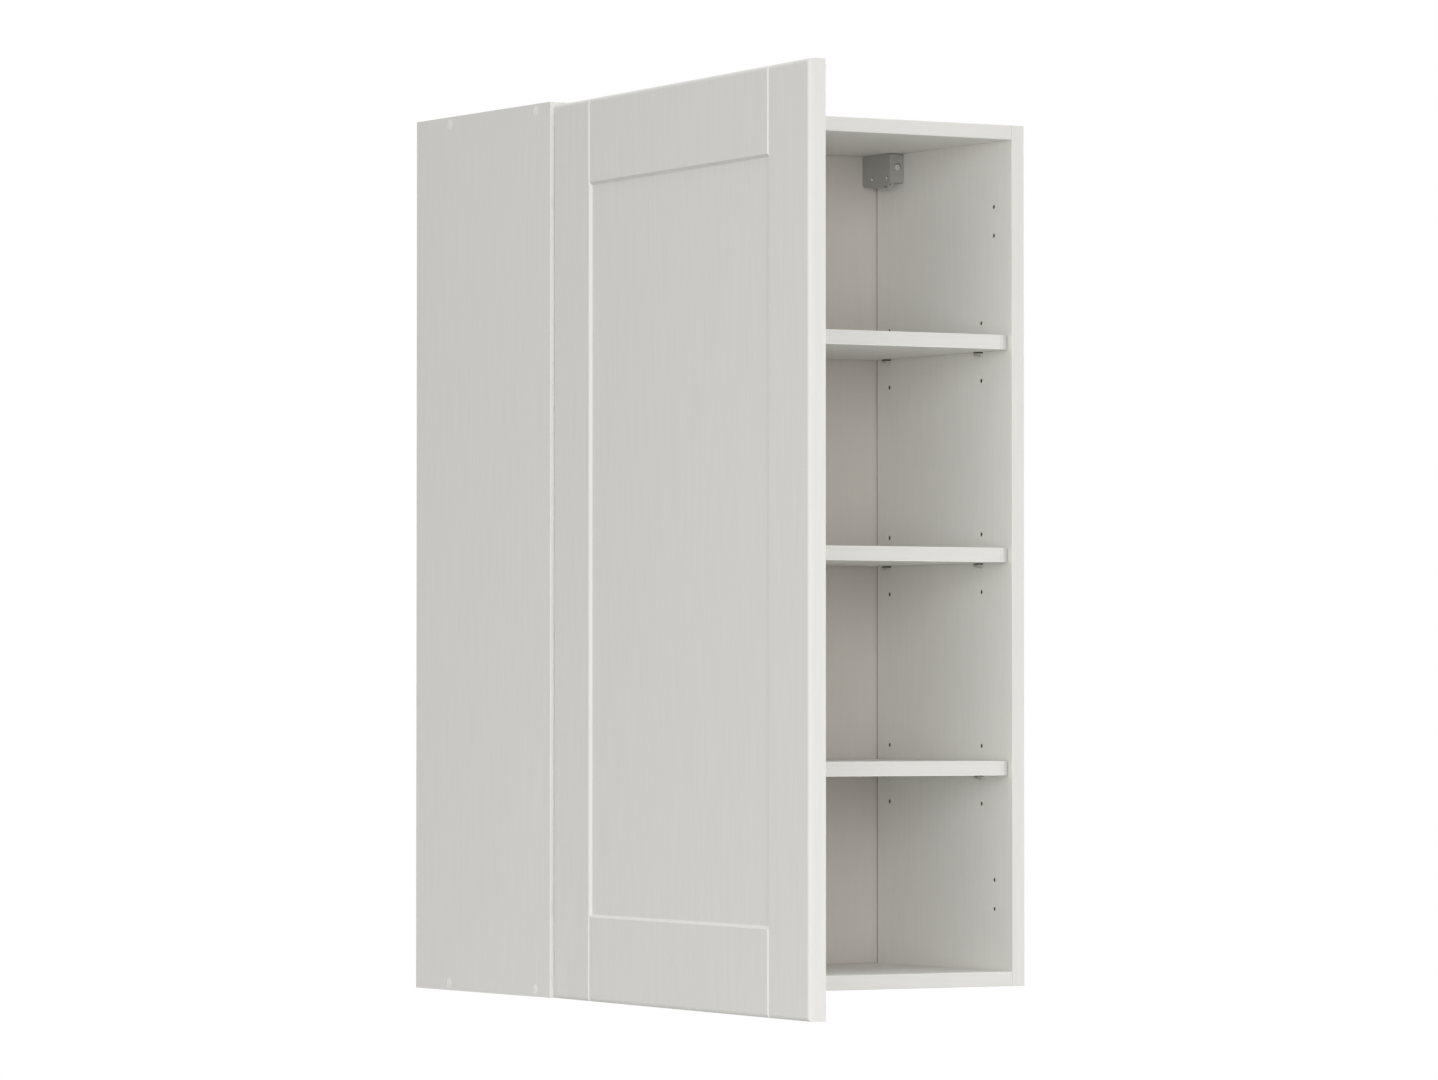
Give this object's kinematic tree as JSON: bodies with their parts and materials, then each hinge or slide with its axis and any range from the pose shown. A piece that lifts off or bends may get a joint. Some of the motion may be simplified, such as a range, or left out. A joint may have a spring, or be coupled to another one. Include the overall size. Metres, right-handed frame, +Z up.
{
  "type": "wall cabinet",
  "caption": "Kitchen wall cabinet of grey laminated board with loose shelves on pegs, corner hangers and a milled frame-look door on concealed hinges, stored with its door open.",
  "frame": {"origin": "in the wall plane, at the middle of the bottom panel's rear edge (half its thickness above the underside)", "axes": "+X to the right seen from the front, +Y towards the wall, +Z up"},
  "size_m": [0.6443, 0.9005, 0.95],
  "materials": {
    "board_laminate": "light warm grey melamine laminate with a fine vertical grain, matt, on chipboard",
    "door_foil": "light warm grey foil with a fine vertical grain, satin, on milled fibreboard",
    "back_sheet": "grey lacquered hardboard sheet, matt",
    "nickel_steel": "nickel-plated pressed steel",
    "zinc_steel": "zinc-plated steel",
    "cap_plastic": "pale grey moulded caps",
    "hanger_plastic": "grey moulded nylon housing"
  },
  "bodies": {
    "carcass": {"back_panel": "back_sheet", "bottom_panel": "board_laminate", "left_bottom_front_cap": "cap_plastic", "left_bottom_front_screw": "zinc_steel", "left_bottom_rear_cap": "cap_plastic", "left_bottom_rear_screw": "zinc_steel", "left_hanger": "hanger_plastic", "left_hanger_adjuster": "nickel_steel", "left_hanger_hook": "zinc_steel", "left_side": "board_laminate", "left_top_front_cap": "cap_plastic", "left_top_front_screw": "zinc_steel", "left_top_rear_cap": "cap_plastic", "left_top_rear_screw": "zinc_steel", "lower_hinge_arm": "nickel_steel", "lower_hinge_plate": "zinc_steel", "lower_plate_high_screw": "zinc_steel", "lower_plate_low_screw": "zinc_steel", "lower_shelf": "board_laminate", "lower_shelf_left_front_peg": "nickel_steel", "lower_shelf_left_rear_peg": "nickel_steel", "lower_shelf_right_front_peg": "nickel_steel", "lower_shelf_right_rear_peg": "nickel_steel", "middle_shelf": "board_laminate", "middle_shelf_left_front_peg": "nickel_steel", "middle_shelf_left_rear_peg": "nickel_steel", "middle_shelf_right_front_peg": "nickel_steel", "middle_shelf_right_rear_peg": "nickel_steel", "right_bottom_front_cap": "cap_plastic", "right_bottom_front_screw": "zinc_steel", "right_bottom_rear_cap": "cap_plastic", "right_bottom_rear_screw": "zinc_steel", "right_hanger": "hanger_plastic", "right_hanger_adjuster": "nickel_steel", "right_hanger_hook": "zinc_steel", "right_side": "board_laminate", "right_top_front_cap": "cap_plastic", "right_top_front_screw": "zinc_steel", "right_top_rear_cap": "cap_plastic", "right_top_rear_screw": "zinc_steel", "top_panel": "board_laminate", "upper_hinge_arm": "nickel_steel", "upper_hinge_plate": "zinc_steel", "upper_plate_high_screw": "zinc_steel", "upper_plate_low_screw": "zinc_steel", "upper_shelf": "board_laminate", "upper_shelf_left_front_peg": "nickel_steel", "upper_shelf_left_rear_peg": "nickel_steel", "upper_shelf_right_front_peg": "nickel_steel", "upper_shelf_right_rear_peg": "nickel_steel"},
    "door": {"door_front": "door_foil", "lower_cup_high_screw": "zinc_steel", "lower_cup_low_screw": "zinc_steel", "lower_hinge_cup": "nickel_steel", "lower_hinge_pin": "zinc_steel", "upper_cup_high_screw": "zinc_steel", "upper_cup_low_screw": "zinc_steel", "upper_hinge_cup": "nickel_steel", "upper_hinge_pin": "zinc_steel"}
  },
  "joints": [
    {"name": "door_swing", "type": "hinge", "parent": "carcass", "child": "door", "pos_m": [-0.2905, -0.313, 0.465], "axis": [0, 0, -1], "range_deg": [-94.4, 15.6]}
  ]
}
